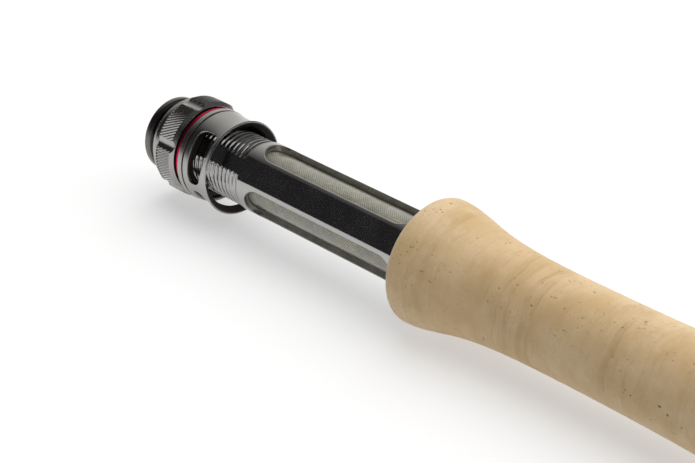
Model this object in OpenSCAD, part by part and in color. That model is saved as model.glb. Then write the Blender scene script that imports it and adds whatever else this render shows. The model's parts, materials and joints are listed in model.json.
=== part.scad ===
// Butt section of an eight-piece 9 ft fly rod: up-locking skeleton reel seat, cork
// full-wells grip and a short tapered blank with a female ferrule. Everything is laid
// out along the rod, measured from the butt end, with the reel-foot flat facing up.
// placed() then rolls the rod onto its side, as it lies on a table, and puts the origin
// under its middle. Diameters build up from the blank outwards, one wall at a time.

/* [Rod] */
// Length of the butt section, from the cap to the end of the ferrule
total_length = 366; // [340:1:720]
// Diameter of the blank at the butt
butt_d = 9.4; // [7.8:0.1:11.4]
// Diameter of the blank at the ferrule end
tip_d = 8.6; // [7.6:0.1:9.2]
// Wall of the blank
blank_wall = 1.0; // [0.8:0.05:1.3]
// How far the rod is rolled from flat-up, in degrees
lay_roll = 54.2; // [0:0.1:60]

/* [Ferrule] */
// Diameter of the ferrule's bore
ferrule_bore_d = 6.6; // [5.6:0.1:6.8]
// Depth of the ferrule's bore
ferrule_depth = 30; // [20:1:40]
// Length of the thread wrap that stops the ferrule from splitting
ferrule_wrap_len = 22; // [12:1:30]

/* [Reel seat barrel] */
// Wall of the arbors between the blank and the insert
arbor_wall = 0.67; // [0.5:0.01:1.2]
// Length of an arbor
arbor_len = 12; // [6:1:16]
// Wall of the woven insert
insert_wall = 1.6; // [1.2:0.1:2.2]
// Wall of the metal barrel
barrel_wall = 1.63; // [1.3:0.01:2]
// How far the crests of the thread lie below the barrel's surface
thread_drop = 0.3; // [0.2:0.05:0.4]
// Pitch of the thread, 18 turns to the inch
thread_pitch = 1.411; // [1.15:0.001:1.7]
// Depth of the thread
thread_depth = 0.55; // [0.35:0.05:0.7]
// Plain thread past the nut's farthest place
thread_runout = 0.15; // [0.1:0.05:1]
// How far the reel-foot flat lies below the barrel's surface
flat_drop = 0.5; // [0.4:0.05:0.6]
// Width of each window in the barrel
window_w = 9.5; // [7:0.1:10]
// Length of the windows
window_len = 50; // [30:1:62]
// Plain barrel between the thread and the windows
window_gap = 2.3; // [1:0.1:6]
// Plain barrel between the windows and the grip
window_to_grip = 2.8; // [1:0.1:6]
// Length of the barrel inside the grip
barrel_in_grip = 9.5; // [8:0.1:12]

/* [Butt cap] */
// How far the cap's flange stands out over the barrel
cap_overhang = 0.65; // [0.3:0.05:1.2]
// Thickness of the cap's flange
cap_t = 2.3; // [1.6:0.1:3]
// Length of the cap's spigot inside the barrel
cap_spigot = 6; // [4:0.5:8]
// Wall of the cap's spigot
spigot_wall = 1.5; // [1:0.1:2]

/* [Locking nut and hood] */
// Wall of the nut, from the thread's crests to the top of the knurl
nut_wall = 3.65; // [3:0.05:4.5]
// Length of the nut
nut_len = 9.2; // [7.6:0.1:11.2]
// Length of the nut's knurled band
knurl_len = 4.8; // [3:0.1:5.6]
// Gap between the cap and the nut when the nut is fully back
nut_gap = 2.3; // [1.2:0.1:3]
// Number of finger flutes in the nut
flute_count = 6; // [4:1:8]
// Radius of the cutter of a finger flute
flute_r = 2.2; // [1.8:0.1:2.6]
// Depth of a finger flute
flute_depth = 0.7; // [0.4:0.1:0.9]
// Number of thread turns that the nut travels
nut_turns = 14; // [8:1:16]
// Thickness of the black ring in front of the nut
o_ring_t = 0.65; // [0.5:0.05:0.9]
// Height of the black ring over the barrel
o_ring_h = 1.67; // [1.2:0.01:2]
// Thickness of the red ring
red_ring_t = 0.75; // [0.5:0.05:1]
// Height of the red ring over the barrel
red_ring_h = 2.12; // [1.6:0.01:2.6]
// Length of the collar on the back of the hood
collar_len = 2.3; // [1.8:0.1:3]
// Height of the collar over the barrel
collar_h = 2.97; // [2.4:0.01:3.6]
// Length of the hood in front of its collar
hood_len = 9; // [8.5:0.1:12]
// Wall of the hood at its waist
hood_wall = 0.9; // [0.7:0.05:1.2]
// Gap between the barrel and the hollow of the hood
hollow_gap = 1.3; // [0.8:0.05:1.6]
// Lip of the hood over the reel foot
hood_lip = 0.95; // [0.7:0.05:1.4]

/* [Reel foot] */
// Room for the reel foot above the flat, inside both hoods
foot_room = 2.6; // [2.1:0.1:3.2]
// Width of the reel foot's end
foot_w = 14.4; // [12:0.1:17.4]
// Depth of the hood's pocket
pocket_depth = 8; // [5:0.1:8.2]

/* [Grip] */
// Number of cork rings
cork_rings = 14; // [12:1:15]
// Length of one cork ring
ring_len = 12.7; // [10.5:0.1:15.3]
// Cork over the fixed hood at the swells
swell_cork = 3.1; // [2:0.1:6]
// Cork over the blank at the waist
waist_cork = 6; // [5:0.1:8]
// Cork over the blank at the front end
nose_cork = 2.8; // [2:0.1:4]
// Radius of the grip's rear edge
rear_edge_r = 2; // [1:0.1:3]
// Length of the grip in front of its front swell
nose_len = 57.8; // [45:0.1:70]

/* [Fittings] */
// Length of the winding check
check_len = 2.6; // [2:0.1:4]
// Distance from the winding check to the hook keeper
keeper_gap = 14; // [8:1:24]
// Length of the hook keeper's wire loop
keeper_len = 9; // [7:0.5:12]
// Length of each foot of the hook keeper
keeper_foot = 5; // [4:0.5:8]
// Diameter of the hook keeper's wire
keeper_wire = 1; // [0.8:0.1:1.2]
// Thickness of the thread wraps
wrap_t = 0.35; // [0.25:0.05:0.5]

/* [Fits] */
// Radial clearance of a running fit
running = 0.08; // [0.05:0.01:0.1]
// Glue line between glued pieces
glue = 0.05; // [0.03:0.01:0.08]

/* [Hidden] */
$fn = 64;
butt_r = butt_d / 2;
tip_r = tip_d / 2;
arbor_r = butt_r + glue + arbor_wall;     // outside of the arbors, inside the insert
insert_r = arbor_r + glue + insert_wall;
bore_r = insert_r + glue;                 // bore of the barrel, which holds the insert
barrel_r = bore_r + barrel_wall;
thread_r = barrel_r - thread_drop;
flat_h = barrel_r - flat_drop;            // distance of the flat from the rod's axis
cap_r = barrel_r + cap_overhang;
cap_edge = 0.6;                           // rounding of the cap's rim
nut_r = thread_r + nut_wall;
nut_bore_r = thread_r + running;          // the nut runs on the thread's crests
slide_r = barrel_r + running;             // the rings and the hood slide over the barrel
collar_r = slide_r + collar_h;
hollow_r = barrel_r + hollow_gap;
hood_waist_r = hollow_r + hood_wall;

barrel_start = cap_t;
nut_start = cap_t + nut_gap;
nut_end = nut_start + nut_len;
o_ring_end = nut_end + o_ring_t;
red_ring_end = o_ring_end + red_ring_t;
collar_end = red_ring_end + collar_len;
hood_mouth = collar_end + hood_len;
thread_end = nut_end + nut_turns * thread_pitch + thread_runout;
window_start = thread_end + window_gap;
window_end = window_start + window_len;
grip_start = window_end + window_to_grip;
barrel_end = grip_start + barrel_in_grip;
insert_start = barrel_start + cap_spigot + 2;
arbor_inset = 3.7;                                   // from the insert's end to an outer arbor
arbor_rear = insert_start + arbor_inset;
arbor_front = barrel_end - arbor_len - 2;

pocket_top = flat_h + foot_room;                     // highest point of both pockets
hood_mouth_r = pocket_top + hood_lip;
cup_wall = 0.8;                                      // fixed hood: an eccentric cup
cup_floor = 1.4;
cup_in_r = (pocket_top + barrel_r + glue) / 2;
cup_offset = (pocket_top - barrel_r - glue) / 2;
cup_end = barrel_end + cup_floor;
hood_windows = [[-26, 48], [61, 135]];               // degrees from the flat, round the hood
barrel_windows = [-60, 60, 180];                     // degrees from the flat, round the barrel

swell_r = pocket_top + cup_wall + glue + swell_cork;
waist_r = butt_r + waist_cork;
nose_r = butt_r + nose_cork;
grip_len = cork_rings * ring_len;
grip_end = grip_start + grip_len;
front_swell_at = grip_len - nose_len;
rear_fall = 9;                                       // how fast the rear swell falls away
front_rise = 16;                                     // how fast the front swell rises
nose_fall = 15;                                      // how fast the front swell falls away
ring_steps = 6;                                      // facets along one cork ring
edge_steps = 4;                                      // facets round the grip's rear edge
check_end = grip_end + check_len;
check_lip = 0.2;                                     // how far the check stands over the cork
check_front = 1.2;                                   // height of the check's front over the blank
keeper_at = check_end + keeper_gap;
keeper_r = keeper_wire / 2;
wrap_over = 2;                                       // wrap past the end of a keeper's foot

axis_z = swell_r;
past = 1;                                            // how far a cut runs past the solid

function ring_name(i) = str("cork_ring_", i < 10 ? "0" : "", i);
function sech(x) = 2 / (exp(x) + exp(-x));
function blank_r(x) = butt_r + (tip_r - butt_r) * x / total_length;

// Radius of the grip at the distance d from its rear face: a round edge, the rear
// swell, the waist, the front swell and the nose.
function grip_r(d) =
    d <= rear_edge_r
        ? swell_r - rear_edge_r + sqrt(max(0, rear_edge_r ^ 2 - (rear_edge_r - d) ^ 2))
    : d <= front_swell_at
        ? waist_r + (swell_r - waist_r)
            * min(1, sech((d - rear_edge_r) / rear_fall) + sech((front_swell_at - d) / front_rise))
    : nose_r + (swell_r - nose_r) * sech((d - front_swell_at) / nose_fall);

// Rolls and moves the rod from its own axis to its place on the table.
module placed() {
    translate([-total_length / 2, 0, axis_z]) rotate([lay_roll, 0, 0]) children();
}

// A solid of revolution about the rod. Its outline is a list of [radius, place].
module lathe(outline) {
    rotate([0, 90, 0]) rotate_extrude() polygon(outline);
}

module tube(from, to, outer, inner) {
    lathe([[inner, from], [outer, from], [outer, to], [inner, to]]);
}

module rod_along(from, to, r) {
    translate([from, 0, 0]) rotate([0, 90, 0]) cylinder(h = to - from, r = r);
}

// A sleeve whose bore follows the blank's taper.
module on_blank(from, to, outer_from, outer_to, gap) {
    lathe([[blank_r(from) + gap, from], [outer_from, from], [outer_to, to], [blank_r(to) + gap, to]]);
}

// The half space above the plane at height h, between two places along the rod.
module above(h, from, to) {
    reach = 2 * nut_r;
    translate([from, -reach, h]) cube([to - from, 2 * reach, reach]);
}

module butt_cap() {
    spigot_r = bore_r - glue;
    color("#3a3a3d") placed() difference() {
        lathe([
            [0, 0], [cap_r - 3 * cap_edge, 0], [cap_r - cap_edge, cap_edge / 3],
            [cap_r, cap_edge], [cap_r, cap_t - cap_edge], [cap_r - cap_edge, cap_t],
            [spigot_r, cap_t], [spigot_r, cap_t + cap_spigot], [0, cap_t + cap_spigot]]);
        rod_along(cap_t, cap_t + cap_spigot + past, spigot_r - spigot_wall);
        rod_along(-past, cap_t / 4, cap_r / 2);
    }
}

// The thread is cut as ring grooves.
module thread_grooves() {
    groove = thread_pitch / 3;
    root_r = thread_r - thread_depth;
    for (x = [barrel_start + thread_pitch : thread_pitch : thread_end - groove])
        lathe([
            [root_r, x - groove / 4], [root_r, x + groove / 4],
            [thread_r + past, x + groove * 1.5], [thread_r + past, x - groove * 1.5]]);
}

// A plain rib carries the flat across the grooves, a little narrower than the crests' own flats.
module flat_rib() {
    half = sqrt(thread_r ^ 2 - flat_h ^ 2) - 0.15;
    root = (bore_r + thread_r - thread_depth) / 2;
    translate([barrel_start + 0.5, -half, root]) cube([thread_end - barrel_start, 2 * half, flat_h + 0.1 - root]);
}

// A window with round ends, through the top of the barrel.
module barrel_window() {
    end_r = window_w / 2;
    for (x = [window_start + end_r, window_end - end_r])
        translate([x, 0, 0]) cylinder(h = 2 * barrel_r, r = end_r);
    translate([window_start + end_r, -end_r, 0]) cube([window_len - window_w, window_w, 2 * barrel_r]);
}

module seat_barrel() {
    color("#55565a") placed() difference() {
        union() {
            rod_along(thread_end, barrel_end, barrel_r);
            difference() {
                rod_along(barrel_start, thread_end, thread_r);
                thread_grooves();
            }
            flat_rib();
        }
        rod_along(barrel_start - past, barrel_end + past, bore_r);
        above(flat_h, barrel_start - past, barrel_end + past);
        for (turn = barrel_windows) rotate([turn, 0, 0]) barrel_window();
    }
}

module seat_insert() {
    color("#77766a") placed() tube(insert_start, barrel_end, insert_r, insert_r - insert_wall);
}

module seat_arbor(from) {
    color("#2b2b2b") placed() on_blank(from, from + arbor_len, arbor_r, arbor_r, glue);
}

module fixed_hood() {
    color("#3f3f42") placed() difference() {
        translate([0, 0, cup_offset]) rod_along(grip_start, cup_end, cup_in_r + cup_wall);
        translate([0, 0, cup_offset]) rod_along(grip_start - past, barrel_end - past, cup_in_r);
        rod_along(grip_start, barrel_end, barrel_r + glue);
        rod_along(barrel_end - past, cup_end + past, insert_r + glue);
    }
}

// From its rear face: a step, a shallow cone, the knurled band and a chamfer.
module lock_nut() {
    rear_r = nut_r - 2.2;
    step_r = nut_r - 1.2;
    neck_r = nut_r - 0.5;
    chamfer_len = 0.8;
    chamfer_h = 0.9;
    rear_step = 0.6;
    flute_from = 1.2;
    knurl_to = nut_end - chamfer_len;
    knurl_from = knurl_to - knurl_len;
    color("#4a4a4d") placed() difference() {
        lathe([
            [0, nut_start], [rear_r, nut_start], [step_r, nut_start + rear_step],
            [step_r, nut_start + flute_from], [neck_r, knurl_from - 0.4],
            [nut_r, knurl_from], [nut_r, knurl_to], [nut_r - chamfer_h, nut_end], [0, nut_end]]);
        rod_along(nut_start - past, nut_end + past, nut_bore_r);
        for (i = [0 : flute_count - 1]) rotate([15 + i * 360 / flute_count, 0, 0])
            translate([nut_start + flute_from, 0, nut_r - flute_depth + flute_r]) rotate([0, 90, 0])
                cylinder(h = nut_len, r = flute_r);
    }
}

module nut_o_ring() {
    color("#161616") placed() tube(nut_end, o_ring_end, slide_r + o_ring_h, slide_r);
}

module red_ring() {
    color("#a00a32") placed() tube(o_ring_end, red_ring_end, slide_r + red_ring_h, slide_r);
}

module hood_collar() {
    edge = 0.25;
    color("#5a5a5c") placed() lathe([
        [slide_r, red_ring_end], [collar_r - edge, red_ring_end],
        [collar_r, red_ring_end + edge], [collar_r, collar_end - edge],
        [collar_r - edge, collar_end], [slide_r, collar_end]]);
}

// Outside of the hood, from its collar through the waist to the flared mouth.
module hood_body() {
    shoulder_r = collar_r - 0.4;
    shoulder_len = 1.2;
    waist_at = hood_mouth - 4.2;
    waist_half = 1.2;
    rim = 0.2;
    lathe([
        [0, collar_end], [shoulder_r + 0.1, collar_end], [shoulder_r, collar_end + shoulder_len],
        [hood_waist_r + 0.1, waist_at - waist_half], [hood_waist_r, waist_at],
        [hood_waist_r + 0.15, waist_at + waist_half], [hood_mouth_r - 1.5 * rim, hood_mouth - 4.5 * rim],
        [hood_mouth_r, hood_mouth - 1.5 * rim], [hood_mouth_r - rim, hood_mouth], [0, hood_mouth]]);
}

module sliding_hood() {
    pocket_from = hood_mouth - pocket_depth;
    pocket_in_r = hollow_r + hood_wall / 3;
    window_from = collar_end + 1.4;
    window_to = hood_mouth - 2.4;
    color("#57575a") placed() difference() {
        hood_body();
        // round hole with a flat that keeps the hood from turning on the barrel
        difference() {
            rod_along(collar_end - past, pocket_from + past, slide_r);
            above(flat_h + running, collar_end - 2 * past, pocket_from + 2 * past);
        }
        rod_along(pocket_from, hood_mouth + past, hollow_r);
        // pocket for the wedge-shaped end of the reel foot
        intersection() {
            lathe([[0, pocket_from], [pocket_in_r, pocket_from], [pocket_top, hood_mouth],
                   [pocket_top, hood_mouth + past], [0, hood_mouth + past]]);
            translate([pocket_from, -foot_w / 2, flat_h])
                cube([pocket_depth + 2 * past, foot_w, foot_room + past]);
        }
        // two windows, either side of a strut
        for (window = hood_windows) rotate([window[0], 0, 0])
            wedge(window[1] - window[0], window_from, window_to);
    }
}

// A sector of a tube wall, a degrees wide, from the top towards -Y.
module wedge(a, from, to) {
    rotate([180, 0, 0]) rotate([0, 90, 0]) rotate_extrude(angle = a)
        polygon([[thread_r, from], [2 * collar_r, from], [2 * collar_r, to], [thread_r, to]]);
}

module cork_ring(i) {
    from = (i - 1) * ring_len;
    edge = [for (k = [0 : edge_steps]) rear_edge_r * (1 - cos(90 * k / edge_steps))];
    rest = [for (k = [1 : ring_steps]) from + k * ring_len / ring_steps];
    places = i == 1 ? concat(edge, [for (d = rest) if (d > 1.2 * rear_edge_r) d]) : concat([from], rest);
    outline = [for (d = places) [grip_r(d), grip_start + d]];
    color("#d3ab78") placed() difference() {
        lathe(concat([[0, grip_start + from]], outline, [[0, grip_start + from + ring_len]]));
        if (grip_start + from < cup_end)
            translate([0, 0, cup_offset]) rod_along(grip_start - past, cup_end, cup_in_r + cup_wall + glue);
        blank_bore(grip_start + from, grip_start + from + ring_len);
    }
}

// The room that the blank and its glue line take, a little past both ends.
module blank_bore(from, to) {
    lathe([[0, from - past], [blank_r(from - past) + glue, from - past],
           [blank_r(to + past) + glue, to + past], [0, to + past]]);
}

module winding_check() {
    color("#2c2c2e") placed()
        on_blank(grip_end, check_end, nose_r + check_lip, blank_r(check_end) + check_front, glue);
}

module rod_blank() {
    from = cap_t + cap_spigot;
    hollow_end = total_length - ferrule_depth;
    bore = ferrule_bore_d / 2;
    color("#26282b") placed() difference() {
        lathe([[0, from], [blank_r(from), from], [blank_r(total_length), total_length], [0, total_length]]);
        lathe([[0, from - past], [blank_r(from) - blank_wall, from - past], [bore, hollow_end], [0, hollow_end]]);
        rod_along(hollow_end - past / 2, total_length + past, bore);
    }
}

// The hook keeper stands on the flat's side of the blank: a half-round loop with a
// foot at each end, which lies under a wrap.
module hook_keeper() {
    top = blank_r(keeper_at) + keeper_r + glue;
    rise = keeper_len / 2;
    color("#8f9094") placed() {
        translate([keeper_at + rise, 0, top]) rotate([90, 0, 0])
            rotate_extrude(angle = 180) translate([rise - keeper_r, 0]) circle(r = keeper_r, $fn = 24);
        for (x = [keeper_at - keeper_foot, keeper_at + keeper_len - keeper_wire])
            translate([0, 0, top]) rod_along(x, x + keeper_foot + keeper_wire, keeper_r);
    }
}

// A thread wrap round the blank and the foot that lies on it. It is short enough to be
// a plain tube on the taper.
module foot_wrap(from, to) {
    inner = blank_r(from) + glue;
    foot_top = blank_r(keeper_at) + keeper_wire + 2 * glue;
    half = keeper_r + glue;
    base = tip_r / 2;
    difference() {
        union() {
            rod_along(from, to, inner + wrap_t);
            translate([from, -half - wrap_t, base]) cube([to - from, 2 * (half + wrap_t), foot_top + wrap_t - base]);
        }
        rod_along(from - past, to + past, inner);
        translate([from - past, -half, base - past]) cube([to - from + 2 * past, 2 * half, foot_top + past - base]);
    }
}

module keeper_wraps() {
    bare = 0.5;
    rear = keeper_at - bare;
    front = keeper_at + keeper_len + bare;
    wrap_len = keeper_foot + wrap_over - bare;
    color("#1c1d20") placed() {
        foot_wrap(rear - wrap_len, rear);
        foot_wrap(front, front + wrap_len);
    }
}

module ferrule_wrap() {
    from = total_length - ferrule_wrap_len;
    to = total_length - past;
    color("#1c1d20") placed()
        on_blank(from, to, blank_r(from) + wrap_t, blank_r(to) + wrap_t, glue);
}

butt_cap();
seat_barrel();
seat_insert();
seat_arbor(arbor_rear);  // seat_arbor_rear
seat_arbor((arbor_rear + arbor_front) / 2);  // seat_arbor_middle
seat_arbor(arbor_front);  // seat_arbor_front
fixed_hood();
lock_nut();
nut_o_ring();
red_ring();
hood_collar();
sliding_hood();
for (i = [1 : cork_rings])
    cork_ring(i);
winding_check();
rod_blank();
hook_keeper();
keeper_wraps();
ferrule_wrap();
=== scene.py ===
import json
import math

import bmesh
import bpy
import numpy as np
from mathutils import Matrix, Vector


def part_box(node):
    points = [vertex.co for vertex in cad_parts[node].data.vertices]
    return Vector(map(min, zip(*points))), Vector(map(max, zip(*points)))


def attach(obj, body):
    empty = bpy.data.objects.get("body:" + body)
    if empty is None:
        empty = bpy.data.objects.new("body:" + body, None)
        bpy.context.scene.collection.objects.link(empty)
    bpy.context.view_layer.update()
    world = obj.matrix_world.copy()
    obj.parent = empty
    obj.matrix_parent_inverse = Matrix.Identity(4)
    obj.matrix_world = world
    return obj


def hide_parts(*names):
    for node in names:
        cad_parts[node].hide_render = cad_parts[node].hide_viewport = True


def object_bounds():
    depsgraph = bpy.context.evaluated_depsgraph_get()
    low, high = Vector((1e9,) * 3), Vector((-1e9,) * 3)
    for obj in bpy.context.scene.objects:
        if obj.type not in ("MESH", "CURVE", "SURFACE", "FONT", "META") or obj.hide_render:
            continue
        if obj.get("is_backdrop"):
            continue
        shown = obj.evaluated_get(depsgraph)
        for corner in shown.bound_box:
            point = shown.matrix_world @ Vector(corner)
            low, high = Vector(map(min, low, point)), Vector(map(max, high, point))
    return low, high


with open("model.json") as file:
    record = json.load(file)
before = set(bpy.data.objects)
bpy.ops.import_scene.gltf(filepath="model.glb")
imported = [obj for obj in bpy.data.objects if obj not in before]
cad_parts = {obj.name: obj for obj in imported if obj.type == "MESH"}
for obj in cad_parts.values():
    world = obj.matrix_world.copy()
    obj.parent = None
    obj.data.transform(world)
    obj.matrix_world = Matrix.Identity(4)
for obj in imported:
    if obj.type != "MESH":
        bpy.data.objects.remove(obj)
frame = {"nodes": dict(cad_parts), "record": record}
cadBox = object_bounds()
print("frame loaded:", len(frame["nodes"]), "CAD nodes")

# Sizes are in millimetres and degrees. Places run along the rod from the butt end, and
# angles run round it from the middle of the reel-foot flat, down towards the table.
mm = 0.001
mounts = {mount["name"]: mount for mount in frame["record"]["mounts"]}
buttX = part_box("butt_cap")[0].x / mm
axisZ = mounts["ferrule_socket"]["pos_m"][2] / mm
flatNormal = mounts["reel_foot_seat"]["axis"]
layRoll = math.atan2(-flatNormal[1], flatNormal[2])
decimetre = 100                     # the UV's unit along the rod, in millimetres
fullTurn = 2 * math.pi
joinGap = 2e-6                      # points closer than this many metres are one point


def ends(node):
    low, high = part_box(node)        # the two places where a CAD node starts and ends
    return low.x / mm - buttX, high.x / mm - buttX


def toRow(a, r, phi):
    # A point r from the rod's axis, at the place a along it and turned phi from the flat:
    # x runs along the rod, and y and z are minus r times the sine and r times the cosine
    # of phi plus the roll in which the rod lies.
    a, r, phi = np.broadcast_arrays(np.asarray(a, float), r, phi)
    turn = phi + layRoll
    return np.stack([buttX + a, -r * np.sin(turn), axisZ + r * np.cos(turn)], -1) * mm


def makeGrid(a, r, phi, attributes=None):
    # One sheet of points; its UV is turns round the rod and decimetres along it.
    a, r, phi = np.broadcast_arrays(np.asarray(a, float), r, phi)
    return {"points": toRow(a, r, phi), "uv": np.stack([phi / fullTurn, a / decimetre], -1),
            "attributes": attributes or {}}


def makeMesh(name, grids):
    # Every grid becomes rows of quads; the points that grids share are then merged, and
    # the closed shell's faces are turned outwards.
    points, uvs, quads, start = [], [], [], 0
    keys = sorted({key for grid in grids for key in grid["attributes"]})
    values = {key: [] for key in keys}
    for grid in grids:
        rows, columns = grid["points"].shape[:2]
        index = start + np.arange(rows * columns).reshape(rows, columns)
        corners = [index[:-1, :-1], index[:-1, 1:], index[1:, 1:], index[1:, :-1]]
        quads.append(np.stack(corners, -1).reshape(-1, 4))
        points.append(grid["points"].reshape(-1, 3))
        uvs.append(grid["uv"].reshape(-1, 2))
        for key in keys:
            value = np.broadcast_to(grid["attributes"].get(key, 0.0), (rows, columns))
            values[key].append(value.reshape(-1))
        start += rows * columns
    points, uvs, quads = np.concatenate(points), np.concatenate(uvs), np.concatenate(quads)
    mesh = bpy.data.meshes.new(name)
    mesh.vertices.add(len(points))
    mesh.vertices.foreach_set("co", points.astype(np.float32).ravel())
    mesh.loops.add(quads.size)
    mesh.loops.foreach_set("vertex_index", quads.astype(np.int32).ravel())
    mesh.polygons.add(len(quads))
    mesh.polygons.foreach_set("loop_start", np.arange(0, quads.size, 4, dtype=np.int32))
    mesh.update(calc_edges=True)
    layer = mesh.uv_layers.new(name="wrap")
    layer.uv.foreach_set("vector", uvs[quads.ravel()].astype(np.float32).ravel())
    for key in keys:
        attribute = mesh.attributes.new(key, "FLOAT", "POINT")
        attribute.data.foreach_set("value", np.concatenate(values[key]).astype(np.float32))
    work = bmesh.new()
    work.from_mesh(mesh)
    bmesh.ops.remove_doubles(work, verts=work.verts, dist=joinGap)
    bmesh.ops.recalc_face_normals(work, faces=work.faces)
    work.to_mesh(mesh)
    work.free()
    return mesh


def addPiece(name, grids, body, material, replaces=(), sharpAngle=40):
    mesh = makeMesh(name, grids)
    mesh.shade_smooth()
    mesh.set_sharp_from_angle(angle=math.radians(sharpAngle))
    mesh.materials.append(material)
    piece = bpy.data.objects.new(name, mesh)
    bpy.context.scene.collection.objects.link(piece)
    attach(piece, body)
    if replaces:
        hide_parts(*replaces)
    print("made", name, len(mesh.polygons), "faces")


def roundedProfile(corners, closed=True, arcSteps=7, reach=None):
    # The corners are (place, radius, fillet). Each fillet is an exact arc, written as a
    # rational curve whose middle weight is the sine of half the corner's angle. Long
    # straight runs are cut into stretches no longer than reach.
    corners = [np.array(corner, float) for corner in corners]
    count = len(corners)
    path = []
    for i, corner in enumerate(corners):
        here, fillet = corner[:2], corner[2]
        if fillet == 0 or (not closed and i in (0, count - 1)):
            path.append(here[None])
            continue
        back = corners[i - 1][:2] - here
        ahead = corners[(i + 1) % count][:2] - here
        backLength, aheadLength = np.linalg.norm(back), np.linalg.norm(ahead)
        back, ahead = back / backLength, ahead / aheadLength
        half = math.acos(max(-1.0, min(1.0, float(back @ ahead)))) / 2
        run = min(fillet / math.tan(half), 0.48 * backLength, 0.48 * aheadLength)
        t = np.linspace(0, 1, arcSteps + 1)[:, None]
        weight = math.sin(half)
        first, last = (1 - t) ** 2, t ** 2
        middle = 2 * t * (1 - t) * weight
        arc = first * (here + back * run) + middle * here + last * (here + ahead * run)
        path.append(arc / (first + middle + last))
    path = np.concatenate(path)
    if closed:
        path = np.concatenate([path, path[:1]])
    if reach is None:
        return path[:, 0], path[:, 1]
    pieces = [path[:1]]
    for p, q in zip(path[:-1], path[1:]):
        cuts = max(1, math.ceil(np.linalg.norm(q - p) / reach))
        pieces.append(p + (q - p) * (np.arange(1, cuts + 1) / cuts)[:, None])
    path = np.concatenate(pieces)
    return path[:, 0], path[:, 1]


def turnedGrid(corners, turns=256, shape=None, arcSteps=7, reach=None, closed=True):
    # A lathe-turned body: the profile carried round the rod. shape(a, r, phi) may then
    # change the radius, and returns it.
    a, r = roundedProfile(corners, closed, arcSteps, reach)
    phi = np.linspace(0, fullTurn, turns + 1)[None]
    a, r = a[:, None], r[:, None]
    if shape is not None:
        r = shape(a, r, phi)
    return makeGrid(a, r, phi)


def smoothStep(low, high, x):
    t = np.clip((x - low) / (high - low), 0, 1)
    return t * t * (3 - 2 * t)


def loopRound(columns, rows):
    # A rectangle's rim walked once round: its angles and places, and where each point
    # lies on the square from -1 to 1.
    n, m = len(columns) - 1, len(rows) - 1
    j = np.concatenate([np.arange(n + 1), np.full(m, n), np.arange(n - 1, -1, -1), np.zeros(m, int)])
    i = np.concatenate([np.zeros(n + 1, int), np.arange(1, m + 1), np.full(n, m), np.arange(m - 1, -1, -1)])
    return columns[j], rows[i], 2 * j / n - 1, 2 * i / m - 1


def roundedBox(x, y, halfWidth, halfLength, corner, grow):
    # A point of the square's rim goes to the rectangle of that size, and from its nearest
    # point on the inner rectangle it is then set off by the corner's radius plus grow.
    px, py = x * halfWidth, y * halfLength
    coreX = np.clip(px, corner - halfWidth, halfWidth - corner)
    coreY = np.clip(py, corner - halfLength, halfLength - corner)
    dx, dy = px - coreX, py - coreY
    length = np.hypot(dx, dy)
    return coreX + dx / length * (corner + grow), coreY + dy / length * (corner + grow)


def windowGrids(columns, rows, hole, outer, inner, rim, spread=10):
    # The wall round one window, as rings of one closed loop: from the rectangle's rim in
    # to the hole on the outer face, over a rounded edge, down the hole's wall, over a
    # second edge and back out on the inner face. hole(x, y, grow, r) gives angle and place.
    phiBox, aBox, x, y = loopRound(columns, rows)
    aRows, rRows, phiRows = [], [], []

    def add(phi, a, r):
        phiRows.append(phi)
        aRows.append(a)
        rRows.append(r)

    def face(radius, steps):
        phiHole, aHole = hole(x, y, rim, radius)
        for t in steps:
            phi = phiHole + (phiBox - phiHole) * t
            a = aHole + (aBox - aHole) * t
            add(phi, a, radius(phi, a))

    def edge(radius, side, turns):
        for turn in turns:
            phi, a = hole(x, y, rim * (1 - math.sin(turn)), radius)
            add(phi, a, radius(phi, a) - side * rim * (1 - math.cos(turn)))

    t = np.linspace(0, 1, spread + 1) ** 1.3
    quarter = np.linspace(0, math.pi / 2, 6)
    face(outer, t[::-1])
    edge(outer, 1, quarter[1:])
    edge(inner, -1, quarter[::-1][:-1])
    face(inner, t)
    return [makeGrid(np.array(aRows), np.array(rRows), np.array(phiRows))]


def newMaterial(name):
    material = bpy.data.materials.new(name)
    material.use_nodes = True
    tree = material.node_tree
    tree.nodes.clear()
    output = tree.nodes.new("ShaderNodeOutputMaterial")
    shader = tree.nodes.new("ShaderNodeBsdfPrincipled")
    tree.links.new(shader.outputs[0], output.inputs[0])
    return material, tree, shader


def setInputs(tree, node, values):
    for key, value in values.items():
        if isinstance(value, bpy.types.NodeSocket):
            tree.links.new(value, node.inputs[key])
        else:
            node.inputs[key].default_value = value


def mathNode(tree, operation, *values):
    node = tree.nodes.new("ShaderNodeMath")
    node.operation = operation
    setInputs(tree, node, dict(enumerate(values)))
    return node.outputs[0]


def times(tree, first, second):
    return mathNode(tree, "MULTIPLY", first, second)


def crownNode(tree, phase):
    # A row of round crowns, one to each whole number of the phase.
    return mathNode(tree, "ABSOLUTE", mathNode(tree, "SINE", times(tree, phase, math.pi)))


def mixColour(tree, factor, low, high):
    node = tree.nodes.new("ShaderNodeMix")
    node.data_type = "RGBA"
    asColour = lambda c: c if isinstance(c, bpy.types.NodeSocket) else (*c, 1)
    setInputs(tree, node, {0: factor, 6: asColour(low), 7: asColour(high)})
    return node.outputs[2]


def remap(tree, value, low, high, toLow=0.0, toHigh=1.0):
    node = tree.nodes.new("ShaderNodeMapRange")
    node.interpolation_type = "SMOOTHSTEP"
    setInputs(tree, node, {0: value, 1: low, 2: high, 3: toLow, 4: toHigh})
    return node.outputs[0]


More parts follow.
